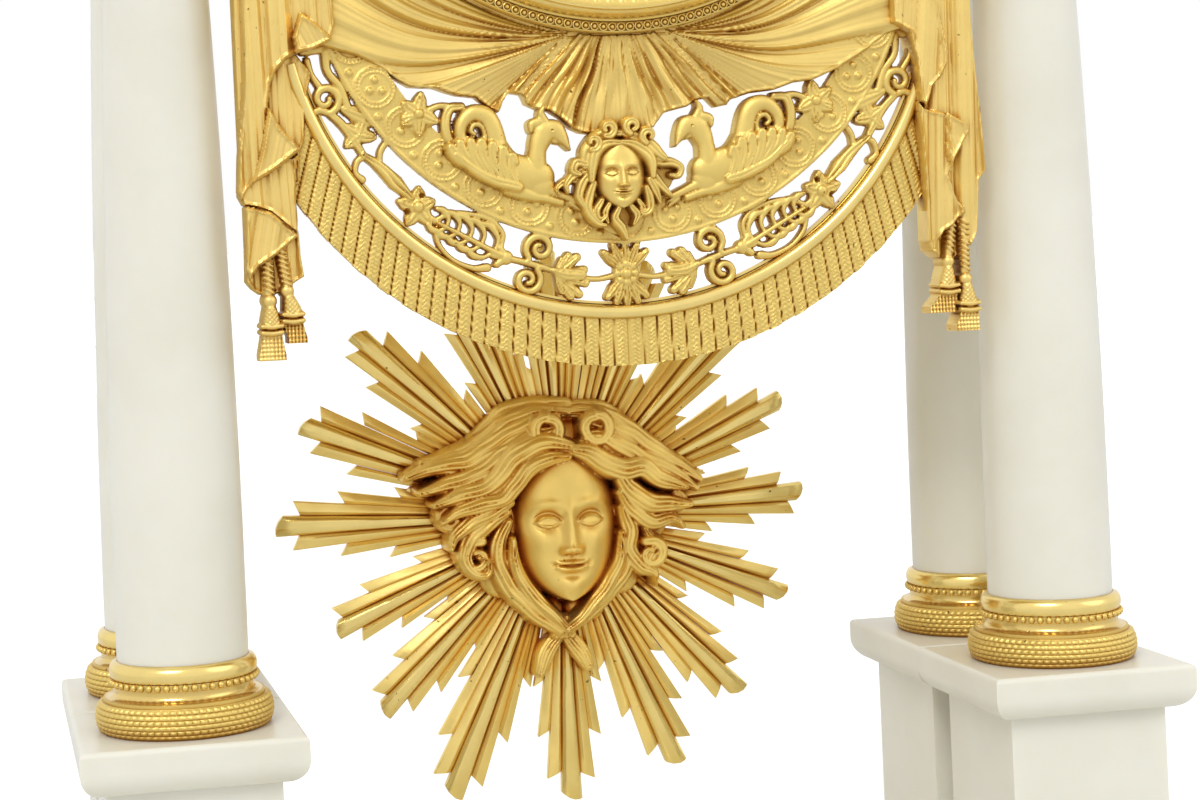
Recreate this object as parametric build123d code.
from build123d import *
import math
import os

# A four-column portico clock with a drum movement, a cast drapery and a sunburst pendulum.
# The clock stands on z = 0, centred on x = 0 and y = 0, with its dial towards -y.
# All lengths are millimetres and all angles are degrees.

# Driving dimensions
COLUMN_SPACING = 260.0
COLUMN_PAIR_DEPTH = 62.0
PEDESTAL_HEIGHT = 75.0
ORDER_HEIGHT = 262.0
DIAL_RISE = 277.0
DRUM_RADIUS = 76.0
OVERRUN = 2.0
FLAT_FIT = 0.2
PIVOT_FIT = 0.06
PART_GAP = 0.3

# Feet and base
FOOT_HEIGHT = 18.0
FOOT_RADIUS = 12.5
FOOT_PAD_RADIUS = 8.0
FOOT_NECK_RADIUS = 7.0
FOOT_TOP_THICK = 3.0
FOOT_BELLY_HEIGHT = 7.0
FOOT_INSET_X = 26.0
FOOT_INSET_Y = 24.0
BASE_END = 46.0
BASE_SIDE = 49.0
BASE_LENGTH = COLUMN_SPACING + 2 * BASE_END
BASE_DEPTH = COLUMN_PAIR_DEPTH + 2 * BASE_SIDE
BASE_SLAB_THICK = 22.0
BASE_CORE_INSET = 12.0
BEADING_HEIGHT = 6.0
BEADING_INSET = 5.0
PLATFORM_THICK = 14.0
PLATFORM_INSET = 7.0
STONE_EASE = 1.5

# Pedestals
CAP_WIDTH = 62.0
CAP_HEIGHT = 13.0
OVOLO_RADIUS = 6.8
DIE_WIDTH = 48.0
PEDESTAL_FOOT_WIDTH = 58.0
PEDESTAL_FOOT_HEIGHT = 9.0
PEDESTAL_FOOT_COVE = 4.0

# Column bases, shafts and capitals
ROD_RADIUS = 2.5
ROD_HOLE_RADIUS = 2.8
TORUS_RADIUS = 24.9
TORUS_NECK_RADIUS = 22.9
TORUS_HEIGHT = 8.5
FILLET_RADIUS = 22.4
FILLET_HEIGHT = 1.0
SCOTIA_RADIUS = 19.4
SCOTIA_TOP_RADIUS = 19.9
SCOTIA_HEIGHT = 3.2
BEAD_RING_RADIUS = 20.55
BEAD_RING_HEIGHT = 2.0
COLLAR_RADIUS = 20.6
COLLAR_TOP_RADIUS = 18.9
COLLAR_HEIGHT = 4.8
SEAT_HEIGHT = 13.0
SHAFT_FOOT_RADIUS = 18.4
SHAFT_TOP_RADIUS = 13.6
SHAFT_MID_RADIUS = 17.1
SHAFT_STRAIGHT = 31.0
CAPITAL_HEIGHT = 27.0
CAPITAL_SEAT = 2.0
NECK_RING_RADIUS = 16.0
NECK_RING_HEIGHT = 3.6
NECK_RADIUS = 14.8
ECHINUS_RADIUS = 19.5
ECHINUS_HEIGHT = 8.0
ABACUS_WIDTH = 42.0
ABACUS_HEIGHT = 7.0

# Entablature, cornices and urns
BLOCK_WIDTH = 52.0
BLOCK_DEPTH = 114.0
BLOCK_HEIGHT = 24.0
CORNICE_WIDTH = 58.0
CORNICE_DEPTH = 126.0
CORNICE_HEIGHT = 8.0
CORNICE_OVOLO = 4.0
NUT_RADIUS = 5.0
NUT_HEIGHT = 4.0
NUT_POCKET_RADIUS = 6.5
NUT_POCKET_DEPTH = 7.0
URN_HEIGHT = 52.0
URN_RADIUS = 14.0
URN_PLINTH_WIDTH = 24.0
URN_PLINTH_HEIGHT = 5.0

# Drum case, its bridge and its top ornament
DRUM_WALL = 3.0
FLANGE_RADIUS = 84.0
FLANGE_FRONT = -43.5
FLANGE_BACK = -39.0
DIAL_BORE_RADIUS = 70.0
LIP_RADIUS = 60.0
FRONT_LIP_FRONT = -38.0
FRONT_LIP_BACK = -35.0
DRUM_BACK = 70.0
BACK_LIP_THICK = 3.0
ROD_SLOT_HALF = 14.0
ROD_SLOT_DEPTH = 18.0
BRACKET_HEIGHT = 22.0
BRACKET_FRONT = -30.0
BRACKET_BACK = 50.0
SADDLE_WIDTH = 46.0
SADDLE_DEPTH = 34.0
SADDLE_HEIGHT = 12.0
STRAP_INNER = 58.0
STRAP_THICK = 5.0
STRAP_HEIGHT = 10.0

# Dial, glass, bezel and hands
DIAL_RADIUS = 69.6
DIAL_FRONT = -40.5
DIAL_THICK = 2.5
CENTRE_HOLE_RADIUS = 3.6
WINDING_HOLE_RADIUS = 3.4
BEZEL_BACK = -43.8
BEZEL_FRONT = -53.0
BEZEL_RADIUS = 87.0
BEZEL_INNER_RADIUS = 65.5
GLASS_RADIUS = 68.0
GLASS_THICK = 1.4
GLASS_SAG = 6.2
GLASS_DOME_RADIUS = 64.5
REBATE_DEPTH = 2.0
HINGE_OUT = 3.5
HINGE_RADIUS = 2.6
PIN_RADIUS = 1.2
HINGE_LENGTH = 24.0
MINUTE_HAND_LENGTH = 58.0
HOUR_HAND_LENGTH = 41.0
HAND_THICK = 0.6
HOUR_HAND_FRONT = -43.0
MINUTE_HAND_FRONT = -44.6
HAND_BOSS_RADIUS = 4.4
MINUTE_ANGLE = 60.0
HOUR_ANGLE = 305.0

# Movement plates and train
PLATE_RADIUS = 52.0
PLATE_THICK = 2.5
FRONT_PLATE_FRONT = -16.0
BACK_PLATE_BACK = 31.5
PILLAR_RADIUS = 3.0
PILLAR_PLACE = 46.0
ARBOR_RADIUS = 1.0
CENTRE_TEETH = 84
THIRD_TEETH = 86
LEAF_COUNT = 8
BARREL_TEETH = 96
CENTRE_LEAVES = 10
CENTRE_MODULE = 0.44
THIRD_MODULE = 0.36
BARREL_MODULE = 0.4375
CANNON_TEETH = 14
MINUTE_TEETH = 42
MOTION_LEAVES = 12
HOUR_TEETH = 48
MOTION_DISTANCE = 14.0
ESCAPE_TEETH = 30
ESCAPE_RADIUS = 9.0
WHEEL_THICK = 1.3
THIRD_ANGLE = 60.0
MOTION_ANGLE = 20.0
ADDENDUM_share = 0.75
DEDENDUM_share = 1.15
WINDING_RADIUS = 2.5
WINDING_SQUARE = 3.6
BARREL_RADIUS = 17.6
BARREL_WALL = 1.2
BARREL_FRONT = -9.0
BARREL_BACK = 13.0
SPRING_TURNS = 7
SPRING_STRIP = 0.6
CENTRE_WHEEL_FRONT = 16.0
GREAT_WHEEL_FRONT = -12.5
THIRD_WHEEL_FRONT = -6.0
ESCAPE_WHEEL_FRONT = 21.0

# Pendulum and its suspension
PENDULUM_Y = 63.0
PALLET_DISTANCE = 13.0
PALLET_CLEAR = 0.9
CRUTCH_Y = 37.0
CRUTCH_LENGTH = 34.0
CRUTCH_WIDTH = 3.0
CRUTCH_THICK = 1.6
FORK_HEIGHT = 3.0
FORK_PRONG = 1.6
PENDULUM_ROD_RADIUS = 1.3
COCK_HALF_WIDTH = 15.0
COCK_LEG = 4.0
COCK_PLATE_FRONT = 42.0
COCK_PLATE_THICK = 2.5
COCK_LOW = 7.0
COCK_HIGH = 15.0
COCK_ARM_HALF = 5.0
COCK_ARM_BACK = 67.0
SPRING_HALF_WIDTH = 3.0
SPRING_HALF_THICK = 0.15
SPRING_TOP = 14.0
SPRING_BOTTOM = 7.0
CHOP_HALF_WIDTH = 3.0
CHOP_HALF_DEPTH = 3.8
CHOP_TOP = 3.0
CHOP_BOTTOM = 14.0
CHOP_SLIT = 0.6
BURST_RISE = 42.0
BURST_FRONT = 54.0
BURST_DISH = 4.5
BURST_THICK = 2.4
RIDGE_HEIGHT = 1.4
RAY_ANGLES = 22.5
BURST_REACH = 88.0
RAY_LENGTH_share = [0.955, 0.966, 1.023, 1.0, 1.0, 1.0, 1.023, 1.023,
                    1.057, 0.932, 0.977, 1.114, 1.068, 1.057, 0.989, 0.943]
RAY_STEPS_share = [(0.70, 0.128), (0.79, 0.108), (0.86, 0.080), (0.93, 0.052), (1.0, 0.028)]
RAY_NOTCH_share = 0.60
BOSS_RADIUS = 12.0
BOSS_WALL = 2.0

# Pendulum mask, heights from the cap top and half widths
FACE_RISE = 37.0
FACE_HALF_WIDTH = 16.0
FACE_HALF_HEIGHT = 23.0
FACE_FRONT = 43.5
HAIR_RISE = 47.0
HAIR_HALF_WIDTH = 48.0
HAIR_HALF_HEIGHT = 31.0
HAIR_FRONT = 45.0
TAIL_RISE = 6.0
TAIL_HALF_WIDTH = 10.0
TAIL_HALF_HEIGHT = 15.0

# Drapery, heights from the cap top
DRAPERY_BACK = -38.5
DRAPERY_FRONT = -46.0
FRINGE_FRONT = -43.0
RIM_RISE = 207.0
FRINGE_RADIUS = 113.0
RIM_RADIUS = 97.0
RIM_HALF = 2.0
RIM_Y = -43.0
SIDE_CUT = 90.0
BAND_RISE = 232.6
BAND_OUTER = 102.6
BAND_INNER = 86.5
BAND_FRONT = -43.5
BAND_BACK = -40.5
SWAG_TOP = 262.0
SWAG_OUT = 98.0
SIDE_TOP = 235.0
SIDE_OUT = 110.0
SIDE_FRONT = -50.0
MARGIN_BACK = -36.0
SMALL_FACE_RISE = 147.0
SMALL_HAIR_HALF = 17.0
SMALL_HAIR_HALF_HEIGHT = 17.0
SMALL_FACE_HALF = 7.0
SMALL_FACE_HALF_HEIGHT = 10.5
SMALL_FACE_FRONT = -52.0
SMALL_HAIR_FRONT = -49.5

# Levels and axes that follow from the sizes above
SLAB_TOP = FOOT_HEIGHT + BASE_SLAB_THICK
CORE_TOP = SLAB_TOP + BEADING_HEIGHT
PLATFORM_TOP = CORE_TOP + PLATFORM_THICK
CAP_TOP = PLATFORM_TOP + PEDESTAL_HEIGHT
ORDER_TOP = CAP_TOP + ORDER_HEIGHT
BLOCK_TOP = ORDER_TOP + BLOCK_HEIGHT
CORNICE_TOP = BLOCK_TOP + CORNICE_HEIGHT
DIAL_Z = CAP_TOP + DIAL_RISE
COLUMN_X = COLUMN_SPACING / 2
COLUMN_Y = COLUMN_PAIR_DEPTH / 2
CORNERS = {
    "front_left": (-COLUMN_X, -COLUMN_Y),
    "front_right": (COLUMN_X, -COLUMN_Y),
    "back_left": (-COLUMN_X, COLUMN_Y),
    "back_right": (COLUMN_X, COLUMN_Y),
}
SIDES = {"left": -1, "right": 1}


def save(name, shape):
    """Write one named piece."""
    shape.label = name
    export_step(shape, os.path.join("parts", name + ".step"))


def box_between(x_from, x_to, y_from, y_to, z_from, z_to):
    """Box given by its faces."""
    size = Box(x_to - x_from, y_to - y_from, z_to - z_from)
    return Pos((x_from + x_to) / 2, (y_from + y_to) / 2, (z_from + z_to) / 2) * size


def outline(start, *steps):
    """Closed face from straight steps (a point) and arcs (a middle point and an end point)."""
    edges = []
    here = start
    for step in steps:
        if isinstance(step[0], tuple):
            edges.append(ThreePointArc(here, step[0], step[1]))
            here = step[1]
        else:
            edges.append(Line(here, step))
            here = step
    edges.append(Line(here, start))
    return make_face(edges)


def turned(face, x=0, y=0, z=0):
    """Piece turned about an upright axis from a (radius, height) face."""
    return Pos(x, y, z) * revolve(Plane.XZ * face, Axis.Z)


def dial_turned(face, x=0, z=0):
    """Piece turned about a front-to-back axis from a (radius, depth) face."""
    return Pos(x, 0, z) * revolve(face, Axis.Y)


def cut_flat(sketch, front, back):
    """Piece with the outline of a front view, between two depths."""
    return Pos(0, back, 0) * extrude(Plane.XZ * sketch, back - front)


def rod_y(radius, x, z, front, back):
    """Round bar lying front to back."""
    return cut_flat(Pos(x, z) * Circle(radius), front, back)


def upright(radius, x, y, z_from, z_to):
    """Round bar standing upright."""
    bar = Cylinder(radius, z_to - z_from, align=(Align.CENTER, Align.CENTER, Align.MIN))
    return Pos(x, y, z_from) * bar


def polar(radius, angle, x=0, z=0):
    """Point at an angle from +x in the front view."""
    turn = math.radians(angle)
    return (x + radius * math.cos(turn), z + radius * math.sin(turn))


def widest(shape):
    """Largest solid of a cut."""
    return max(shape.solids(), key=lambda solid: solid.volume)


def foot(x, y):
    """Turned toupie foot."""
    belly_top = FOOT_HEIGHT - FOOT_TOP_THICK
    face = outline(
        (0, 0),
        (FOOT_PAD_RADIUS, 0),
        ((FOOT_RADIUS, FOOT_BELLY_HEIGHT), (FOOT_NECK_RADIUS, belly_top)),
        (FOOT_RADIUS, belly_top),
        (FOOT_RADIUS, FOOT_HEIGHT),
        (0, FOOT_HEIGHT),
    )
    return turned(face, x, y)


def feet():
    """Four turned feet screwed under the base slab."""
    x = BASE_LENGTH / 2 - FOOT_INSET_X
    y = BASE_DEPTH / 2 - FOOT_INSET_Y
    return Compound([foot(sx * x, sy * y) for sx in (-1, 1) for sy in (-1, 1)])


def rod_holes(z_from, z_to, radius=ROD_HOLE_RADIUS):
    """Holes for the four tie rods."""
    return [upright(radius, x, y, z_from - OVERRUN, z_to + OVERRUN) for x, y in CORNERS.values()]


def base_slab():
    """Marble slab with a raised core that the platform rests on."""
    x = BASE_LENGTH / 2
    y = BASE_DEPTH / 2
    slab = box_between(-x, x, -y, y, FOOT_HEIGHT, SLAB_TOP)
    slab = fillet(slab.edges().group_by(Axis.Z)[-1], STONE_EASE)
    inner_x = x - BASE_CORE_INSET
    inner_y = y - BASE_CORE_INSET
    slab += box_between(-inner_x, inner_x, -inner_y, inner_y, SLAB_TOP, CORE_TOP)
    for hole in rod_holes(FOOT_HEIGHT, CORE_TOP):
        slab -= hole
    for pocket in nut_pockets():
        slab -= pocket
    return slab


def nut_pockets():
    """Pockets under the base slab for the lower nuts."""
    top = FOOT_HEIGHT + NUT_POCKET_DEPTH
    return [upright(NUT_POCKET_RADIUS, x, y, FOOT_HEIGHT - OVERRUN, top) for x, y in CORNERS.values()]


def base_beading():
    """Gilt frame let into the step between the slab and the platform."""
    x = BASE_LENGTH / 2 - BEADING_INSET
    y = BASE_DEPTH / 2 - BEADING_INSET
    inner_x = BASE_LENGTH / 2 - BASE_CORE_INSET + FLAT_FIT
    inner_y = BASE_DEPTH / 2 - BASE_CORE_INSET + FLAT_FIT
    frame = box_between(-x, x, -y, y, SLAB_TOP, CORE_TOP)
    return frame - box_between(-inner_x, inner_x, -inner_y, inner_y, SLAB_TOP - OVERRUN, CORE_TOP + OVERRUN)


def base_platform():
    """Upper marble slab that carries the pedestals."""
    x = BASE_LENGTH / 2 - PLATFORM_INSET
    y = BASE_DEPTH / 2 - PLATFORM_INSET
    slab = box_between(-x, x, -y, y, CORE_TOP, PLATFORM_TOP)
    slab = fillet(slab.edges().group_by(Axis.Z)[-1], STONE_EASE)
    for hole in rod_holes(CORE_TOP, PLATFORM_TOP):
        slab -= hole
    return slab


def pedestal(x, y):
    """Square marble pedestal with a coved foot and an ovolo cap, bored for its tie rod."""
    foot_half = PEDESTAL_FOOT_WIDTH / 2
    die_half = DIE_WIDTH / 2
    cap_half = CAP_WIDTH / 2
    foot_top = PLATFORM_TOP + PEDESTAL_FOOT_HEIGHT
    cap_low = CAP_TOP - CAP_HEIGHT
    lower = box_between(x - foot_half, x + foot_half, y - foot_half, y + foot_half, PLATFORM_TOP, foot_top)
    lower = fillet(lower.edges().group_by(Axis.Z)[-1], PEDESTAL_FOOT_COVE)
    die = box_between(x - die_half, x + die_half, y - die_half, y + die_half, PLATFORM_TOP, CAP_TOP)
    cap = box_between(x - cap_half, x + cap_half, y - cap_half, y + cap_half, cap_low, CAP_TOP)
    cap = fillet(cap.edges().group_by(Axis.Z)[0], OVOLO_RADIUS)
    cap = fillet(cap.edges().group_by(Axis.Z)[-1], STONE_EASE)
    block = lower + die + cap
    return block - upright(ROD_HOLE_RADIUS, x, y, PLATFORM_TOP - OVERRUN, CAP_TOP + OVERRUN)


def column_base(x, y):
    """Gilt base: knurled torus, fillet, scotia, bead ring and a collar round the shaft."""
    fillet_top = TORUS_HEIGHT + FILLET_HEIGHT
    scotia_top = fillet_top + SCOTIA_HEIGHT
    bead_top = scotia_top + BEAD_RING_HEIGHT
    top = bead_top + COLLAR_HEIGHT
    socket = SHAFT_FOOT_RADIUS + PIVOT_FIT
    face = outline(
        (ROD_HOLE_RADIUS, 0),
        (TORUS_NECK_RADIUS, 0),
        ((TORUS_RADIUS, TORUS_HEIGHT / 2), (TORUS_NECK_RADIUS, TORUS_HEIGHT)),
        (FILLET_RADIUS, TORUS_HEIGHT),
        (FILLET_RADIUS, fillet_top),
        ((SCOTIA_RADIUS, (fillet_top + scotia_top) / 2), (SCOTIA_TOP_RADIUS, scotia_top)),
        ((BEAD_RING_RADIUS, (scotia_top + bead_top) / 2), (SCOTIA_TOP_RADIUS, bead_top)),
        ((COLLAR_RADIUS, (bead_top + top) / 2), (COLLAR_TOP_RADIUS, top)),
        (socket, top),
        (socket, SEAT_HEIGHT),
        (ROD_HOLE_RADIUS, SEAT_HEIGHT),
    )
    return turned(face, x, y, CAP_TOP)


def column_shaft(x, y):
    """Marble shaft with entasis, bored for its tie rod."""
    top = ORDER_HEIGHT - CAPITAL_HEIGHT + CAPITAL_SEAT
    middle = (SHAFT_STRAIGHT + top) / 2
    face = outline(
        (ROD_HOLE_RADIUS, SEAT_HEIGHT),
        (SHAFT_FOOT_RADIUS, SEAT_HEIGHT),
        (SHAFT_FOOT_RADIUS, SHAFT_STRAIGHT),
        ((SHAFT_MID_RADIUS, middle), (SHAFT_TOP_RADIUS, top)),
        (ROD_HOLE_RADIUS, top),
    )
    return turned(face, x, y, CAP_TOP)


def column_capital(x, y):
    """Gilt Tuscan capital: neck ring, echinus and square abacus."""
    low = ORDER_HEIGHT - CAPITAL_HEIGHT
    seat = low + CAPITAL_SEAT
    ring_top = low + NECK_RING_HEIGHT
    abacus_low = ORDER_HEIGHT - ABACUS_HEIGHT
    echinus_low = abacus_low - ECHINUS_HEIGHT
    socket = SHAFT_TOP_RADIUS + FLAT_FIT
    bulge = (NECK_RADIUS + ECHINUS_RADIUS) / 2 + FILLET_HEIGHT
    face = outline(
        (socket, low),
        (NECK_RADIUS, low),
        ((NECK_RING_RADIUS, (low + ring_top) / 2), (NECK_RADIUS, ring_top)),
        (NECK_RADIUS, echinus_low),
        ((bulge, (echinus_low + abacus_low) / 2), (ECHINUS_RADIUS, abacus_low)),
        (ROD_HOLE_RADIUS, abacus_low),
        (ROD_HOLE_RADIUS, seat),
        (socket, seat),
    )
    half = ABACUS_WIDTH / 2
    abacus_from = CAP_TOP + abacus_low
    abacus = box_between(x - half, x + half, y - half, y + half, abacus_from, ORDER_TOP)
    capital = turned(face, x, y, CAP_TOP) + abacus
    return capital - upright(ROD_HOLE_RADIUS, x, y, abacus_from - OVERRUN, ORDER_TOP + OVERRUN)


def tie_nut(x, y, z):
    """Hexagon nut on a tie rod."""
    body = extrude(Pos(x, y, z) * RegularPolygon(NUT_RADIUS, 6), NUT_HEIGHT)
    return body - upright(ROD_RADIUS, x, y, z - OVERRUN, z + NUT_HEIGHT + OVERRUN)


def tie_rods():
    """Four steel rods with their nuts, clamping base, columns and entablature together."""
    low = FOOT_HEIGHT + NUT_POCKET_DEPTH - NUT_HEIGHT
    high = BLOCK_TOP - NUT_POCKET_DEPTH
    solids = []
    for x, y in CORNERS.values():
        solids.append(upright(ROD_RADIUS, x, y, low, high + NUT_HEIGHT))
        solids.append(tie_nut(x, y, low))
        solids.append(tie_nut(x, y, high))
    return Compound(solids)


def entablature(side):
    """Marble block over a pair of columns."""
    x = side * COLUMN_X
    half = BLOCK_WIDTH / 2
    deep = BLOCK_DEPTH / 2
    block = box_between(x - half, x + half, -deep, deep, ORDER_TOP, BLOCK_TOP)
    for y in (-COLUMN_Y, COLUMN_Y):
        block -= upright(ROD_HOLE_RADIUS, x, y, ORDER_TOP - OVERRUN, BLOCK_TOP + OVERRUN)
        block -= upright(NUT_POCKET_RADIUS, x, y, BLOCK_TOP - NUT_POCKET_DEPTH, BLOCK_TOP + OVERRUN)
    return block


def cornice(side):
    """Marble slab over the block, rounded below."""
    x = side * COLUMN_X
    half = CORNICE_WIDTH / 2
    deep = CORNICE_DEPTH / 2
    slab = box_between(x - half, x + half, -deep, deep, BLOCK_TOP, CORNICE_TOP)
    slab = fillet(slab.edges().group_by(Axis.Z)[0], CORNICE_OVOLO)
    return fillet(slab.edges().group_by(Axis.Z)[-1], STONE_EASE)


URN_PROFILE_share = [(0.62, 0.0), (0.62, 0.14), (0.24, 0.22), (0.24, 0.27), (0.70, 0.40),
                     (1.00, 0.62), (1.00, 0.66), (0.74, 0.72), (0.40, 0.82), (0.16, 0.86),
                     (0.24, 0.93), (0.0, 1.0)]


def urn_face():
    """Half outline of an urn on its axis."""
    points = [(0, URN_PLINTH_HEIGHT)]
    for radius, height in URN_PROFILE_share:
        points.append((radius * URN_RADIUS, max(URN_PLINTH_HEIGHT, height * URN_HEIGHT)))
    return outline(*points)


def urn(x, z):
    """Turned covered urn on a square plinth."""
    half = URN_PLINTH_WIDTH / 2
    plinth = box_between(x - half, x + half, -half, half, z, z + URN_PLINTH_HEIGHT)
    return plinth + turned(urn_face(), x, 0, z)


def drum_finial():
    """Urn on a saddle that fits the top of the drum."""
    top = DIAL_Z + DRUM_RADIUS + SADDLE_HEIGHT
    half = SADDLE_WIDTH / 2
    deep = SADDLE_DEPTH / 2
    saddle = box_between(-half, half, -deep, deep, DIAL_Z, top)
    saddle -= rod_y(DRUM_RADIUS, 0, DIAL_Z, -deep - OVERRUN, deep + OVERRUN)
    return widest(saddle) + urn(0, top)


BEZEL_PIN_X = -(BEZEL_RADIUS + HINGE_OUT)
BEZEL_PIN_Y = (FLANGE_FRONT + BEZEL_BACK) / 2
COVER_PIN_X = DRUM_RADIUS + HINGE_OUT
COVER_PIN_Y = DRUM_BACK + PART_GAP / 2
KNUCKLE = HINGE_LENGTH / 3


def hinge_leaf(x_pin, y_pin, x_root, y_from, y_to, z_from, z_to):
    """One hinge leaf: a knuckle round the pin and a lug back to its carrier."""
    low = min(x_pin, x_root)
    high = max(x_pin, x_root)
    leaf = upright(HINGE_RADIUS, x_pin, y_pin, z_from, z_to)
    leaf += box_between(low, high, y_from, y_to, z_from, z_to)
    return leaf - upright(PIN_RADIUS + PIVOT_FIT, x_pin, y_pin, z_from - OVERRUN, z_to + OVERRUN)


def drum_case():
    """Gilt drum with a front flange, lips inside both ends, a rod slot and two hinge mounts."""
    bore = DRUM_RADIUS - DRUM_WALL
    lip_front = DRUM_BACK - BACK_LIP_THICK
    face = outline(
        (LIP_RADIUS, FRONT_LIP_FRONT),
        (LIP_RADIUS, FRONT_LIP_BACK),
        (bore, FRONT_LIP_BACK),
        (bore, lip_front),
        (LIP_RADIUS, lip_front),
        (LIP_RADIUS, DRUM_BACK),
        (DRUM_RADIUS, DRUM_BACK),
        (DRUM_RADIUS, FLANGE_BACK),
        (FLANGE_RADIUS, FLANGE_BACK),
        (FLANGE_RADIUS, FLANGE_FRONT),
        (DIAL_BORE_RADIUS, FLANGE_FRONT),
        (DIAL_BORE_RADIUS, FRONT_LIP_FRONT),
    )
    drum = dial_turned(face, 0, DIAL_Z)
    slot_front = PENDULUM_Y - ROD_SLOT_DEPTH
    slot_low = DIAL_Z - DRUM_RADIUS - OVERRUN
    slot_back = DRUM_BACK + OVERRUN
    slot_high = DIAL_Z - LIP_RADIUS + DRUM_WALL
    drum -= box_between(-ROD_SLOT_HALF, ROD_SLOT_HALF, slot_front, slot_back, slot_low, slot_high)
    low = DIAL_Z - HINGE_LENGTH / 2
    high = DIAL_Z + HINGE_LENGTH / 2
    for z_from, z_to in ((low, low + KNUCKLE), (high - KNUCKLE, high)):
        root = -FLANGE_RADIUS + DRUM_WALL
        drum += hinge_leaf(BEZEL_PIN_X, BEZEL_PIN_Y, root, FLANGE_FRONT, FLANGE_BACK, z_from, z_to)
        root = bore + DRUM_WALL / 2
        drum += hinge_leaf(COVER_PIN_X, COVER_PIN_Y, root, lip_front, DRUM_BACK, z_from, z_to)
    return drum


def drum_bracket(side):
    """Gilt bracket that carries the drum on the inner face of an entablature block."""
    inner = DRUM_RADIUS - BRACKET_HEIGHT
    outer = COLUMN_X - BLOCK_WIDTH / 2
    ends = sorted((side * inner, side * outer))
    top = ORDER_TOP + BRACKET_HEIGHT
    bracket = box_between(ends[0], ends[1], BRACKET_FRONT, BRACKET_BACK, ORDER_TOP, top)
    bracket -= rod_y(DRUM_RADIUS, 0, DIAL_Z, BRACKET_FRONT - OVERRUN, BRACKET_BACK + OVERRUN)
    return widest(bracket)


def movement_straps():
    """Two brass straps between the drum's lips that hold the movement plates."""
    back = DRUM_BACK - BACK_LIP_THICK
    half = STRAP_HEIGHT / 2
    outer = STRAP_INNER + STRAP_THICK
    left = box_between(-outer, -STRAP_INNER, FRONT_LIP_BACK, back, DIAL_Z - half, DIAL_Z + half)
    right = box_between(STRAP_INNER, outer, FRONT_LIP_BACK, back, DIAL_Z - half, DIAL_Z + half)
    return Compound([left, right])


def dial():
    """Enamelled dial disc with holes for the hands and the winding square."""
    back = DIAL_FRONT + DIAL_THICK
    disc = rod_y(DIAL_RADIUS, 0, DIAL_Z, DIAL_FRONT, back)
    disc -= rod_y(CENTRE_HOLE_RADIUS, 0, DIAL_Z, DIAL_FRONT - OVERRUN, back + OVERRUN)
    x, z = BARREL_PLACE
    return disc - rod_y(WINDING_HOLE_RADIUS, x, z, DIAL_FRONT - OVERRUN, back + OVERRUN)


def dome_middle(radius, sag):
    """Point halfway along a dome's arc, as (radius, fall from the top)."""
    sphere = (radius ** 2 + sag ** 2) / (2 * sag)
    turn = math.asin(radius / sphere) / 2
    return (sphere * math.sin(turn), sphere * (1 - math.cos(turn)))


def dial_glass():
    """Domed glass with a flat rim seated in the bezel's rebate."""
    seat = BEZEL_BACK - REBATE_DEPTH
    inner = seat + GLASS_THICK
    across, fall = dome_middle(GLASS_DOME_RADIUS, GLASS_SAG)
    face = outline(
        (0, seat - GLASS_SAG),
        ((across, seat - GLASS_SAG + fall), (GLASS_DOME_RADIUS, seat)),
        (GLASS_RADIUS, seat),
        (GLASS_RADIUS, inner),
        (GLASS_DOME_RADIUS, inner),
        ((across, inner - GLASS_SAG + fall), (0, inner - GLASS_SAG)),
    )
    return dial_turned(face, 0, DIAL_Z)


BEZEL_PROFILE_share = [(1.00, 0.55), (0.985, 0.92), (0.955, 1.0), (0.935, 0.88), (0.905, 0.62),
                       (0.885, 0.62), (0.875, 0.90), (0.855, 0.94), (0.795, 0.50), (0.753, 0.42)]


def bezel():
    """Gilt bezel ring with a beaded border, a hollow and a sloping inner ring."""
    depth = BEZEL_FRONT - BEZEL_BACK
    seat = BEZEL_BACK - REBATE_DEPTH
    bore = GLASS_RADIUS + PIVOT_FIT
    points = [(BEZEL_RADIUS, BEZEL_BACK)]
    for radius, front in BEZEL_PROFILE_share:
        points.append((radius * BEZEL_RADIUS, BEZEL_BACK + front * depth))
    points.append((BEZEL_INNER_RADIUS, seat))
    points.append((bore, seat))
    points.append((bore, BEZEL_BACK))
    ring = dial_turned(outline(*points), 0, DIAL_Z)
    low = DIAL_Z - KNUCKLE / 2 + PART_GAP
    high = DIAL_Z + KNUCKLE / 2 - PART_GAP
    root = -BEZEL_RADIUS + DRUM_WALL
    front = BEZEL_BACK - HINGE_RADIUS
    return ring + hinge_leaf(BEZEL_PIN_X, BEZEL_PIN_Y, root, front, BEZEL_BACK, low, high)


def hinge_pins():
    """Pins of the bezel hinge and the cover hinge."""
    low = DIAL_Z - HINGE_LENGTH / 2
    high = DIAL_Z + HINGE_LENGTH / 2
    front = upright(PIN_RADIUS, BEZEL_PIN_X, BEZEL_PIN_Y, low, high)
    back = upright(PIN_RADIUS, COVER_PIN_X, COVER_PIN_Y, low, high)
    return Compound([front, back])


def back_cover():
    """Dished brass cover that swings away from the back of the drum."""
    front = DRUM_BACK + PART_GAP
    back = front + DRUM_WALL
    disc = rod_y(DRUM_RADIUS - FLAT_FIT, 0, DIAL_Z, front, back)
    disc = fillet(disc.edges().group_by(Axis.Y)[-1], STONE_EASE)
    low = DIAL_Z - KNUCKLE / 2 + PART_GAP
    high = DIAL_Z + KNUCKLE / 2 - PART_GAP
    leaf = hinge_leaf(COVER_PIN_X, COVER_PIN_Y, DRUM_RADIUS - DRUM_WALL, front, back, low, high)
    return disc + leaf


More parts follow.
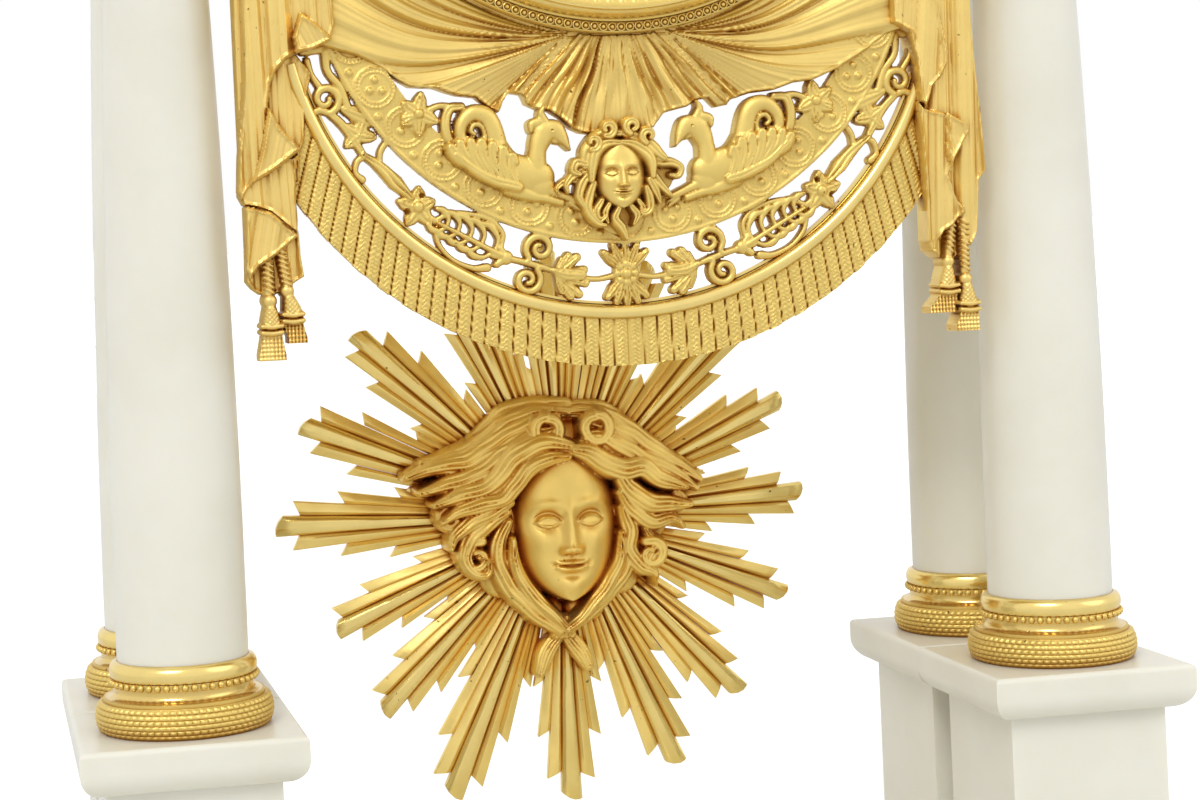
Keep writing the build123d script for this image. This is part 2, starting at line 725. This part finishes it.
HAND_BLADE_share = [(0.030, 0.0), (0.022, 0.55), (0.060, 0.66), (0.060, 0.72), (0.016, 0.80), (0.0, 1.0)]


def hand(length, angle, front):
    """Hand with a leaf-shaped blade and a round boss."""
    right = [(width * length, HAND_BOSS_RADIUS / 2 + run * (length - HAND_BOSS_RADIUS / 2))
             for width, run in HAND_BLADE_share]
    left = [(-x, z) for x, z in reversed(right[:-1])]
    blade = cut_flat(outline(*right, *left), front, front + HAND_THICK)
    blade += rod_y(HAND_BOSS_RADIUS, 0, 0, front, front + HAND_THICK)
    return Pos(0, 0, DIAL_Z) * Rot(0, angle, 0) * blade


def toothed(teeth, pitch_radius, module, front, back, tooth_angle):
    """Toothed disc about the y axis with a tooth at the given angle of the front view."""
    root = pitch_radius - DEDENDUM_share * module
    tip = pitch_radius + ADDENDUM_share * module
    step = 360 / teeth
    points = []
    for index in range(teeth):
        angle = tooth_angle + index * step
        points.append(polar(root, angle - TOOTH_ROOT_share * step))
        points.append(polar(tip, angle - TOOTH_TIP_share * step))
        points.append(polar(tip, angle + TOOTH_TIP_share * step))
        points.append(polar(root, angle + TOOTH_ROOT_share * step))
    return cut_flat(outline(*points), front, back)


TOOTH_ROOT_share = 0.27
TOOTH_TIP_share = 0.09

# Places of the arbors in the front view
CENTRE_PLACE = (0, DIAL_Z)
CENTRE_WHEEL_RADIUS = CENTRE_TEETH * CENTRE_MODULE / 2
THIRD_PINION_RADIUS = LEAF_COUNT * CENTRE_MODULE / 2
THIRD_WHEEL_RADIUS = THIRD_TEETH * THIRD_MODULE / 2
ESCAPE_PINION_RADIUS = LEAF_COUNT * THIRD_MODULE / 2
GREAT_WHEEL_RADIUS = BARREL_TEETH * BARREL_MODULE / 2
CENTRE_PINION_RADIUS = CENTRE_LEAVES * BARREL_MODULE / 2
BARREL_PLACE = (0, DIAL_Z - GREAT_WHEEL_RADIUS - CENTRE_PINION_RADIUS)
THIRD_PLACE = polar(CENTRE_WHEEL_RADIUS + THIRD_PINION_RADIUS, THIRD_ANGLE, 0, DIAL_Z)
ESCAPE_REACH = THIRD_WHEEL_RADIUS + ESCAPE_PINION_RADIUS
ESCAPE_RISE = math.sqrt(ESCAPE_REACH ** 2 - THIRD_PLACE[0] ** 2)
ESCAPE_PLACE = (0, THIRD_PLACE[1] + ESCAPE_RISE)
ESCAPE_ANGLE = math.degrees(math.atan2(ESCAPE_RISE, -THIRD_PLACE[0]))
PIVOT_Z = ESCAPE_PLACE[1] + PALLET_DISTANCE
MOTION_PLACE = polar(MOTION_DISTANCE, MOTION_ANGLE, 0, DIAL_Z)
CANNON_RADIUS = MOTION_DISTANCE * CANNON_TEETH / (CANNON_TEETH + MINUTE_TEETH)
MINUTE_RADIUS = MOTION_DISTANCE - CANNON_RADIUS
LEAVES_RADIUS = MOTION_DISTANCE * MOTION_LEAVES / (MOTION_LEAVES + HOUR_TEETH)
HOUR_RADIUS = MOTION_DISTANCE - LEAVES_RADIUS
PLATES_INNER_FRONT = FRONT_PLATE_FRONT + PLATE_THICK
PLATES_INNER_BACK = BACK_PLATE_BACK - PLATE_THICK
CANNON_FRONT = FRONT_PLATE_FRONT - PLATE_THICK
LEAVES_FRONT = CANNON_FRONT - PLATE_THICK


def at(place, shape):
    """Shape moved to a place of the front view."""
    return Pos(place[0], 0, place[1]) * shape


def plate(front):
    """Round movement plate with two ears that reach the straps."""
    back = front + PLATE_THICK
    half = STRAP_HEIGHT / 2
    shape = rod_y(PLATE_RADIUS, 0, DIAL_Z, front, back)
    shape += box_between(-STRAP_INNER, STRAP_INNER, front, back, DIAL_Z - half, DIAL_Z + half)
    for place in (CENTRE_PLACE, THIRD_PLACE, ESCAPE_PLACE, (0, PIVOT_Z)):
        shape -= rod_y(ARBOR_RADIUS + PIVOT_FIT, place[0], place[1], front - OVERRUN, back + OVERRUN)
    x, z = BARREL_PLACE
    return shape - rod_y(WINDING_RADIUS + PIVOT_FIT, x, z, front - OVERRUN, back + OVERRUN)


def front_plate():
    """Front movement plate with the stud of the minute wheel."""
    shape = plate(FRONT_PLATE_FRONT)
    x, z = MOTION_PLACE
    return shape + rod_y(ARBOR_RADIUS, x, z, LEAVES_FRONT - PLATE_THICK, FRONT_PLATE_FRONT)


def back_plate():
    """Back movement plate with its four pillars."""
    shape = plate(PLATES_INNER_BACK)
    for corner in range(4):
        x, z = polar(PILLAR_PLACE, 45 + 90 * corner, 0, DIAL_Z)
        shape += rod_y(PILLAR_RADIUS, x, z, PLATES_INNER_FRONT, PLATES_INNER_BACK)
    return shape


def barrel():
    """Spring barrel with its great wheel."""
    x, z = (0, 0)
    shell = rod_y(BARREL_RADIUS, x, z, BARREL_FRONT, BARREL_BACK)
    inner = BARREL_RADIUS - BARREL_WALL
    shell -= rod_y(inner, x, z, BARREL_FRONT + BARREL_WALL, BARREL_BACK - BARREL_WALL)
    wheel_back = GREAT_WHEEL_FRONT + WHEEL_THICK
    shell += toothed(BARREL_TEETH, GREAT_WHEEL_RADIUS, BARREL_MODULE, GREAT_WHEEL_FRONT, wheel_back, 90)
    shell += rod_y(BARREL_RADIUS / 2, x, z, wheel_back, BARREL_FRONT)
    shell -= rod_y(WINDING_RADIUS + PIVOT_FIT, x, z, GREAT_WHEEL_FRONT - OVERRUN, BARREL_BACK + OVERRUN)
    return at(BARREL_PLACE, shell)


def mainspring():
    """Wound spring strip between the winding arbor and the barrel wall."""
    start = WINDING_RADIUS + SPRING_STRIP
    end = BARREL_RADIUS - BARREL_WALL - SPRING_STRIP - PIVOT_FIT
    steps = SPRING_TURNS * 24
    outer = []
    inner = []
    for index in range(steps + 1):
        radius = start + (end - start) * index / steps
        angle = 360 * SPRING_TURNS * index / steps
        inner.append(polar(radius, angle))
        outer.append(polar(radius + SPRING_STRIP, angle))
    strip = Spline(*inner) + Line(inner[-1], outer[-1]) + Spline(*reversed(outer)) + Line(outer[0], inner[0])
    front = BARREL_FRONT + BARREL_WALL + PART_GAP
    back = BARREL_BACK - BARREL_WALL - PART_GAP
    return at(BARREL_PLACE, cut_flat(make_face(strip), front, back))


def winding_arbor():
    """Barrel arbor with a square end behind the dial."""
    square_back = FRONT_PLATE_FRONT - PLATE_THICK * 4
    bar = rod_y(WINDING_RADIUS, 0, 0, square_back, BACK_PLATE_BACK)
    square = cut_flat(Rectangle(WINDING_SQUARE, WINDING_SQUARE), DIAL_FRONT + OVERRUN, square_back)
    return at(BARREL_PLACE, bar + square)


def centre_wheel():
    """Centre arbor with its pinion, wheel and cannon pinion."""
    arbor = rod_y(ARBOR_RADIUS, 0, 0, MINUTE_HAND_FRONT + HAND_THICK, BACK_PLATE_BACK)
    back = CENTRE_WHEEL_FRONT + WHEEL_THICK
    arbor += toothed(CENTRE_TEETH, CENTRE_WHEEL_RADIUS, CENTRE_MODULE, CENTRE_WHEEL_FRONT, back, THIRD_ANGLE)
    gap = -90 + 180 / CENTRE_LEAVES
    pinion_front = GREAT_WHEEL_FRONT - PART_GAP
    pinion_back = GREAT_WHEEL_FRONT + WHEEL_THICK + PART_GAP
    arbor += toothed(CENTRE_LEAVES, CENTRE_PINION_RADIUS, BARREL_MODULE, pinion_front, pinion_back, gap)
    cannon_back = FRONT_PLATE_FRONT - PART_GAP
    module = 2 * CANNON_RADIUS / CANNON_TEETH
    gap = MOTION_ANGLE + 180 / CANNON_TEETH
    arbor += toothed(CANNON_TEETH, CANNON_RADIUS, module, CANNON_FRONT, cannon_back, gap)
    return at(CENTRE_PLACE, arbor)


def third_wheel():
    """Third arbor with its pinion and wheel."""
    arbor = rod_y(ARBOR_RADIUS, 0, 0, FRONT_PLATE_FRONT, BACK_PLATE_BACK)
    gap = THIRD_ANGLE + 180 + 180 / LEAF_COUNT
    front = CENTRE_WHEEL_FRONT - PART_GAP
    back = CENTRE_WHEEL_FRONT + WHEEL_THICK + PART_GAP
    arbor += toothed(LEAF_COUNT, THIRD_PINION_RADIUS, CENTRE_MODULE, front, back, gap)
    back = THIRD_WHEEL_FRONT + WHEEL_THICK
    arbor += toothed(THIRD_TEETH, THIRD_WHEEL_RADIUS, THIRD_MODULE, THIRD_WHEEL_FRONT, back, ESCAPE_ANGLE)
    return at(THIRD_PLACE, arbor)


def escape_wheel():
    """Escape arbor with its pinion and pointed wheel."""
    arbor = rod_y(ARBOR_RADIUS, 0, 0, FRONT_PLATE_FRONT, BACK_PLATE_BACK)
    gap = ESCAPE_ANGLE + 180 + 180 / LEAF_COUNT
    front = THIRD_WHEEL_FRONT - PART_GAP
    back = THIRD_WHEEL_FRONT + WHEEL_THICK + PART_GAP
    arbor += toothed(LEAF_COUNT, ESCAPE_PINION_RADIUS, THIRD_MODULE, front, back, gap)
    points = []
    step = 360 / ESCAPE_TEETH
    root = ESCAPE_RADIUS * ESCAPE_ROOT_share
    for index in range(ESCAPE_TEETH):
        points.append(polar(root, index * step))
        points.append(polar(ESCAPE_RADIUS, index * step + step / 4))
        points.append(polar(root, index * step + step / 2))
    arbor += cut_flat(outline(*points), ESCAPE_WHEEL_FRONT, ESCAPE_WHEEL_FRONT + WHEEL_THICK)
    return at(ESCAPE_PLACE, arbor)


ESCAPE_ROOT_share = 0.84


def minute_wheel():
    """Wheel and pinion of the motion work, turning on the front plate's stud."""
    back = FRONT_PLATE_FRONT - PART_GAP
    module = 2 * MINUTE_RADIUS / MINUTE_TEETH
    tooth = MOTION_ANGLE + 180
    wheel = toothed(MINUTE_TEETH, MINUTE_RADIUS, module, CANNON_FRONT + PART_GAP, back - PART_GAP, tooth)
    module = 2 * LEAVES_RADIUS / MOTION_LEAVES
    wheel += toothed(MOTION_LEAVES, LEAVES_RADIUS, module, LEAVES_FRONT, CANNON_FRONT + PART_GAP, tooth)
    stud = ARBOR_RADIUS + PIVOT_FIT
    wheel -= rod_y(stud, 0, 0, LEAVES_FRONT - OVERRUN, back + OVERRUN)
    return at(MOTION_PLACE, wheel)


def minute_hand():
    """Minute hand on the end of the centre arbor."""
    return hand(MINUTE_HAND_LENGTH, MINUTE_ANGLE, MINUTE_HAND_FRONT)


def hour_hand():
    """Hour hand with its pipe and hour wheel, running on the centre arbor."""
    pipe_back = CANNON_FRONT - PART_GAP
    pipe_radius = ARBOR_RADIUS * 2
    shape = hand(HOUR_HAND_LENGTH, HOUR_ANGLE, HOUR_HAND_FRONT)
    shape += rod_y(pipe_radius, 0, DIAL_Z, HOUR_HAND_FRONT + HAND_THICK, pipe_back)
    module = 2 * HOUR_RADIUS / HOUR_TEETH
    gap = MOTION_ANGLE + 180 / HOUR_TEETH
    wheel = toothed(HOUR_TEETH, HOUR_RADIUS, module, LEAVES_FRONT + PART_GAP, pipe_back, gap)
    shape += at(CENTRE_PLACE, wheel)
    bore = ARBOR_RADIUS + PIVOT_FIT
    return shape - rod_y(bore, 0, DIAL_Z, HOUR_HAND_FRONT - OVERRUN, pipe_back + OVERRUN)


def pallet_anchor():
    """Anchor, its arbor and the crutch whose fork drives the pendulum rod."""
    arbor = rod_y(ARBOR_RADIUS, 0, 0, FRONT_PLATE_FRONT, COCK_PLATE_FRONT + COCK_PLATE_THICK)
    reach = ESCAPE_RADIUS + PALLET_CLEAR
    pallet = polar(reach, PALLET_ANGLE, 0, -PALLET_DISTANCE)
    outer = polar(reach + PLATE_THICK, PALLET_ANGLE, 0, -PALLET_DISTANCE)
    width = PLATE_THICK / 2
    arm = outline((0, -width), (pallet[0], pallet[1]), (outer[0], outer[1]), (0, width))
    anchor_front = ESCAPE_WHEEL_FRONT - PART_GAP
    anchor_back = ESCAPE_WHEEL_FRONT + WHEEL_THICK + PART_GAP
    right = cut_flat(arm, anchor_front, anchor_back)
    arbor += right + mirror(right, Plane.YZ)
    crutch_back = CRUTCH_Y + CRUTCH_THICK
    half = CRUTCH_WIDTH / 2
    arbor += box_between(-half, half, CRUTCH_Y, crutch_back, -CRUTCH_LENGTH, half)
    slot = PENDULUM_ROD_RADIUS + PIVOT_FIT
    wide = slot + FORK_PRONG
    fork_back = PENDULUM_Y + PENDULUM_ROD_RADIUS + FORK_PRONG
    fork = box_between(-wide, wide, CRUTCH_Y, fork_back, -CRUTCH_LENGTH, -CRUTCH_LENGTH + FORK_HEIGHT)
    slot_front = PENDULUM_Y - PENDULUM_ROD_RADIUS - FORK_PRONG
    slot_low = -CRUTCH_LENGTH - OVERRUN
    slot_high = -CRUTCH_LENGTH + FORK_HEIGHT + OVERRUN
    fork -= box_between(-slot, slot, slot_front, fork_back + OVERRUN, slot_low, slot_high)
    return Pos(0, 0, PIVOT_Z) * (arbor + fork)


PALLET_ANGLE = 42.0


def suspension_cock():
    """Bracket on the back plate that carries the pallet arbor and clamps the suspension spring."""
    plate_back = COCK_PLATE_FRONT + COCK_PLATE_THICK
    low = PIVOT_Z - COCK_LOW
    high = PIVOT_Z + COCK_HIGH
    shape = box_between(-COCK_HALF_WIDTH, COCK_HALF_WIDTH, COCK_PLATE_FRONT, plate_back, low, high)
    for side in (-1, 1):
        ends = sorted((side * COCK_HALF_WIDTH, side * (COCK_HALF_WIDTH - COCK_LEG)))
        shape += box_between(ends[0], ends[1], BACK_PLATE_BACK, plate_back, low, low + COCK_LOW)
    arm_low = high - COCK_LOW
    shape += box_between(-COCK_ARM_HALF, COCK_ARM_HALF, plate_back, COCK_ARM_BACK, arm_low, high)
    shape -= rod_y(ARBOR_RADIUS + PIVOT_FIT, 0, PIVOT_Z, COCK_PLATE_FRONT - OVERRUN, plate_back + OVERRUN)
    front = PENDULUM_Y - SPRING_HALF_WIDTH
    back = PENDULUM_Y + SPRING_HALF_WIDTH
    top = PIVOT_Z + SPRING_TOP
    return shape - box_between(-SPRING_HALF_THICK, SPRING_HALF_THICK, front, back, arm_low - OVERRUN, top)


def suspension_spring():
    """Flat spring strip that the pendulum hangs from."""
    front = PENDULUM_Y - SPRING_HALF_WIDTH
    back = PENDULUM_Y + SPRING_HALF_WIDTH
    low = PIVOT_Z - SPRING_BOTTOM
    return box_between(-SPRING_HALF_THICK, SPRING_HALF_THICK, front, back, low, PIVOT_Z + SPRING_TOP)


def pendulum_rod():
    """Steel rod with a slit brass block that takes the end of the spring."""
    low = PIVOT_Z - CHOP_BOTTOM
    high = PIVOT_Z - CHOP_TOP
    front = PENDULUM_Y - CHOP_HALF_DEPTH
    back = PENDULUM_Y + CHOP_HALF_DEPTH
    block = box_between(-CHOP_HALF_WIDTH, CHOP_HALF_WIDTH, front, back, low, high)
    slit = PIVOT_Z - SPRING_BOTTOM - PART_GAP
    block -= box_between(-CHOP_SLIT, CHOP_SLIT, front - OVERRUN, back + OVERRUN, slit, high + OVERRUN)
    return block + upright(PENDULUM_ROD_RADIUS, 0, PENDULUM_Y, CAP_TOP + BURST_RISE - BOSS_RADIUS, low)


def ray_lengths():
    """Length of each ray from the burst's centre to its tip."""
    return [share * BURST_REACH for share in RAY_LENGTH_share]


def ray_side(length):
    """Stepped edge of one ray from its root to its tip, as (run, half width)."""
    points = []
    for index, (run, half) in enumerate(RAY_STEPS_share):
        if index:
            points.append((RAY_STEPS_share[index - 1][0] * length, half * length))
        points.append((run * length, half * length))
    return points


def ray_point(angle, run, across):
    """Front-view point at a run along a ray and a distance across it."""
    turn = math.radians(angle)
    x = run * math.cos(turn) - across * math.sin(turn)
    z = run * math.sin(turn) + across * math.cos(turn)
    return (x, z)


def star():
    """Front outline of the whole sunburst."""
    points = []
    for index, length in enumerate(ray_lengths()):
        angle = index * RAY_ANGLES
        side = ray_side(length)
        points += [ray_point(angle, run, -half) for run, half in side]
        points += [ray_point(angle, run, half) for run, half in reversed(side)]
        points.append(polar(RAY_NOTCH_share * BURST_REACH, angle + RAY_ANGLES / 2))
    return outline(*points)


def ridge(angle, length):
    """Front outline of the raised middle of one ray."""
    half = RAY_STEPS_share[-1][1] * length
    root = BOSS_RADIUS
    corners = [(root, -half / 2), (length - half, -half), (length - half, half), (root, half / 2)]
    return outline(*[ray_point(angle, run, across) for run, across in corners])


def dish(front, back):
    """Shallow cone-shaped sheet about the burst's axis, wider than the rays."""
    reach = max(ray_lengths()) + OVERRUN
    slope = BURST_DISH * reach / BURST_REACH
    return dial_turned(outline((0, front), (reach, front + slope), (reach, back + slope), (0, back)))


def sunburst():
    """Cast sunburst of sixteen stepped rays with a boss behind it for the rod."""
    back = BURST_FRONT + BURST_THICK
    shape = dish(BURST_FRONT, back) & cut_flat(star(), BURST_FRONT - OVERRUN, back + BURST_DISH * 2)
    fingers = dish(BURST_FRONT - RIDGE_HEIGHT, BURST_FRONT + BURST_THICK / 2)
    for index, length in enumerate(ray_lengths()):
        bar = cut_flat(ridge(index * RAY_ANGLES, length), BURST_FRONT - OVERRUN, back + BURST_DISH * 2)
        shape += fingers & bar
    boss_back = PENDULUM_Y + PENDULUM_ROD_RADIUS + BOSS_WALL
    shape += rod_y(BOSS_RADIUS, 0, 0, BURST_FRONT + BURST_THICK / 2, boss_back)
    shape -= upright(PENDULUM_ROD_RADIUS, 0, PENDULUM_Y, -BOSS_RADIUS - OVERRUN, BOSS_RADIUS + OVERRUN)
    return Pos(0, 0, CAP_TOP + BURST_RISE) * shape


def swell(half_x, half_y, half_z, x, y, z):
    """Rounded mass with three half widths."""
    return Pos(x, y, z) * scale(Sphere(1), by=(half_x, half_y, half_z))


def pendulum_mask():
    """Mask with flowing hair, generic and calm, seated on the rays."""
    y = BURST_FRONT
    hair_z = CAP_TOP + HAIR_RISE
    face_z = CAP_TOP + FACE_RISE
    tail_z = CAP_TOP + TAIL_RISE
    shape = swell(HAIR_HALF_WIDTH, y - HAIR_FRONT, HAIR_HALF_HEIGHT, HAIR_SHIFT, y, hair_z)
    shape += swell(FACE_HALF_WIDTH, y - FACE_FRONT, FACE_HALF_HEIGHT, 0, y, face_z)
    shape += swell(TAIL_HALF_WIDTH, (y - HAIR_FRONT) / 2, TAIL_HALF_HEIGHT, 0, y, tail_z)
    rear = dish(BURST_FRONT - RIDGE_HEIGHT, BURST_FRONT + HAIR_HALF_HEIGHT)
    return widest(shape - Pos(0, 0, CAP_TOP + BURST_RISE) * rear)


HAIR_SHIFT = -3.0


def small_mask():
    """Small mask in the middle of the drapery."""
    z = CAP_TOP + SMALL_FACE_RISE
    y = BAND_FRONT
    hair = swell(SMALL_HAIR_HALF, y - SMALL_HAIR_FRONT, SMALL_HAIR_HALF_HEIGHT, 0, y, z)
    face = swell(SMALL_FACE_HALF, y - SMALL_FACE_FRONT, SMALL_FACE_HALF_HEIGHT, 0, y, z)
    shape = hair + face
    reach = SMALL_HAIR_HALF + OVERRUN
    behind = box_between(-reach, reach, y, y + reach, z - reach, z + reach)
    return widest(shape - behind)


def circle_at(radius, x, rise):
    """Disc of the front view at a height above the caps."""
    return Pos(x, CAP_TOP + rise) * Circle(radius)


def between_sides(top):
    """Space between the two side falls, up to a height above the caps."""
    return box_between(-SIDE_CUT, SIDE_CUT, SIDE_FRONT, MARGIN_BACK, CAP_TOP, CAP_TOP + top)


def fringe():
    """Curved bullion fringe with its half-round rim."""
    ring = circle_at(FRINGE_RADIUS, 0, RIM_RISE) - circle_at(RIM_RADIUS, 0, RIM_RISE)
    shape = cut_flat(ring, FRINGE_FRONT, DRAPERY_BACK)
    shape += dial_turned(Pos(RIM_RADIUS, RIM_Y) * Circle(RIM_HALF), 0, CAP_TOP + RIM_RISE)
    return shape & between_sides(RIM_RISE)


# Points of the drapery, as shares of the side cut across and of the rim's centre height upwards
SWAG_HEM_share = [(0.933, 0.918), (0.733, 0.874), (0.556, 0.843), (0.356, 0.826), (0.178, 0.807), (0, 0.792)]
SIDE_FALL_share = [(1, 1.135), (1.2, 1.135), (1.211, 0.918), (1.222, 0.763), (1.2, 0.705), (1.167, 0.657),
                   (1.183, 0.589), (1.172, 0.481), (1.078, 0.481), (1.078, 0.507), (1.011, 0.507),
                   (1.028, 0.589), (1, 0.652)]


def drapery_point(x_share, rise_share, side=1):
    """Front-view point of the drapery from its shares."""
    return (side * x_share * SIDE_CUT, CAP_TOP + rise_share * RIM_RISE)


def swag_outline():
    """Front outline of the swag before the drum is cut out of it."""
    right = [drapery_point(*place) for place in SWAG_HEM_share]
    left = [(-x, z) for x, z in reversed(right[:-1])]
    hem = Spline(*right, *left)
    top = CAP_TOP + SWAG_TOP
    step = CAP_TOP + SIDE_TOP
    corners = [left[-1], (-SIDE_CUT, left[-1][1]), (-SIDE_CUT, step), (-SWAG_OUT, step), (-SWAG_OUT, top)]
    corners += [(-x, z) for x, z in reversed(corners)]
    edges = [Line(corners[i], corners[i + 1]) for i in range(len(corners) - 1)]
    return make_face([hem] + edges)


def swag():
    """Draped swag that hangs round the lower half of the drum from its flange."""
    front_view = swag_outline()
    inner = FLANGE_RADIUS + FLAT_FIT
    shape = cut_flat(front_view, DRAPERY_FRONT, FLANGE_BACK)
    shape -= rod_y(inner, 0, DIAL_Z, DRAPERY_FRONT - OVERRUN, FLANGE_BACK + OVERRUN)
    shape -= rod_y(BEZEL_RADIUS + OVERRUN, 0, DIAL_Z, DRAPERY_FRONT - OVERRUN, FLANGE_FRONT)
    margin = cut_flat(front_view, FLANGE_BACK, MARGIN_BACK)
    margin &= rod_y(BEZEL_RADIUS + OVERRUN, 0, DIAL_Z, FLANGE_BACK - OVERRUN, MARGIN_BACK + OVERRUN)
    margin -= rod_y(DRUM_RADIUS + FLAT_FIT, 0, DIAL_Z, FLANGE_BACK - OVERRUN, MARGIN_BACK + OVERRUN)
    return shape + margin


def side_drape(side):
    """Fall of cloth with its knot and tassels beside the swag."""
    points = [drapery_point(x, rise, side) for x, rise in SIDE_FALL_share]
    return cut_flat(outline(*points), SIDE_FRONT, DRAPERY_BACK)


# Tracery of one half. Ovals are half length, half width and x as shares of the side cut, height as
# a share of the rim's centre height, and an angle. Scrolls are radius and x, then height, as shares.
TRACERY_LEAVES_share = [
    (0.067, 0.015, 0.111, 0.587, 5), (0.056, 0.047, 0.183, 0.587, 0), (0.061, 0.014, 0.272, 0.599, 0),
    (0.045, 0.034, 0.400, 0.606, 30), (0.122, 0.061, 0.511, 0.645, 38), (0.067, 0.056, 0.650, 0.693, 45),
    (0.078, 0.016, 0.667, 0.659, 25), (0.067, 0.025, 0.711, 0.720, 60), (0.078, 0.018, 0.767, 0.751, 40),
    (0.100, 0.018, 0.844, 0.783, 48), (0.072, 0.033, 0.933, 0.870, 75), (0.078, 0.018, 0.828, 0.812, 75),
    (0.078, 0.017, 0.778, 0.715, 20), (0.072, 0.020, 0.611, 0.720, 75),
]
TRACERY_SCROLLS_share = [(0.056, 0.267, 0.628), (0.053, 0.317, 0.577), (0.056, 0.928, 0.829)]
CREATURE_LEAVES_share = [
    (0.111, 0.072, 0.300, 0.734, 100), (0.072, 0.036, 0.217, 0.739, 20), (0.078, 0.033, 0.244, 0.792, 120),
    (0.111, 0.038, 0.389, 0.758, 20), (0.100, 0.044, 0.583, 0.802, 45), (0.050, 0.022, 0.333, 0.812, 70),
]
TAIL_SCROLL_share = (0.089, 0.489, 0.795)
SCROLL_THICK = 2.2
ROSETTE_RADIUS = 7.5
ROSETTE_RISE = 121.0
PALMETTE_HALF = 5.0


def leaf(long_share, wide_share, x_share, rise_share, angle):
    """Oval leaf of the front view, turned by an angle."""
    x, z = drapery_point(x_share, rise_share)
    return Pos(x, z) * Rot(0, 0, angle) * Ellipse(long_share * SIDE_CUT, wide_share * SIDE_CUT)


def scroll(radius_share, x_share, rise_share, thick=SCROLL_THICK):
    """Round scroll of the front view, open in the middle unless its thickness fills it."""
    radius = radius_share * SIDE_CUT
    ring = Pos(*drapery_point(x_share, rise_share)) * Circle(radius)
    if thick < radius:
        ring -= Pos(*drapery_point(x_share, rise_share)) * Circle(radius - thick)
    return ring


def both_sides(sketch):
    """Sketch with its mirror image about the middle."""
    return sketch + mirror(sketch, Plane.YZ)


def openwork():
    """Pierced tracery, scallop band and winged creatures between the rim and the swag."""
    view = circle_at(BAND_OUTER, 0, BAND_RISE) - circle_at(BAND_INNER, 0, BAND_RISE)
    view += circle_at(ROSETTE_RADIUS, 0, ROSETTE_RISE)
    rosette = Pos(0, CAP_TOP + ROSETTE_RISE)
    up = BAND_RISE - BAND_OUTER - ROSETTE_RISE + SCROLL_THICK
    down = ROSETTE_RISE - RIM_RISE + RIM_RADIUS
    view += rosette * Rectangle(PALMETTE_HALF * 2, up, align=(Align.CENTER, Align.MIN))
    view += rosette * Rectangle(PALMETTE_HALF * 2, down, align=(Align.CENTER, Align.MAX))
    for shape in TRACERY_LEAVES_share + CREATURE_LEAVES_share:
        view += both_sides(leaf(*shape))
    for shape in TRACERY_SCROLLS_share:
        view += both_sides(scroll(*shape))
    view += both_sides(scroll(*TAIL_SCROLL_share, thick=SIDE_CUT))
    shape = cut_flat(view, BAND_FRONT, BAND_BACK) & between_sides(RIM_RISE)
    return widest(shape - swag() - fringe())


def build_all():
    """Make every piece and write it."""
    os.makedirs("parts", exist_ok=True)
    save("feet", feet())
    save("base_slab", base_slab())
    save("base_beading", base_beading())
    save("base_platform", base_platform())
    for corner, (x, y) in CORNERS.items():
        save("pedestal_" + corner, pedestal(x, y))
        save("column_base_" + corner, column_base(x, y))
        save("column_shaft_" + corner, column_shaft(x, y))
        save("column_capital_" + corner, column_capital(x, y))
    save("tie_rods", tie_rods())
    for name, side in SIDES.items():
        save("entablature_" + name, entablature(side))
        save("cornice_" + name, cornice(side))
        save("urn_" + name, urn(side * COLUMN_X, CORNICE_TOP))
        save("drum_bracket_" + name, drum_bracket(side))
        save("side_drape_" + name, side_drape(side))
    save("drum_case", drum_case())
    save("drum_finial", drum_finial())
    save("movement_straps", movement_straps())
    save("fringe", fringe())
    save("openwork", openwork())
    save("swag", swag())
    save("small_mask", small_mask())
    save("bezel", bezel())
    save("dial_glass", dial_glass())
    save("hinge_pins", hinge_pins())
    save("dial", dial())
    save("minute_hand", minute_hand())
    save("hour_hand", hour_hand())
    save("front_plate", front_plate())
    save("back_plate", back_plate())
    save("barrel", barrel())
    save("mainspring", mainspring())
    save("winding_arbor", winding_arbor())
    save("centre_wheel", centre_wheel())
    save("minute_wheel", minute_wheel())
    save("third_wheel", third_wheel())
    save("escape_wheel", escape_wheel())
    save("pallet_anchor", pallet_anchor())
    save("suspension_cock", suspension_cock())
    save("suspension_spring", suspension_spring())
    save("pendulum_rod", pendulum_rod())
    save("sunburst", sunburst())
    save("pendulum_mask", pendulum_mask())
    save("back_cover", back_cover())


build_all()
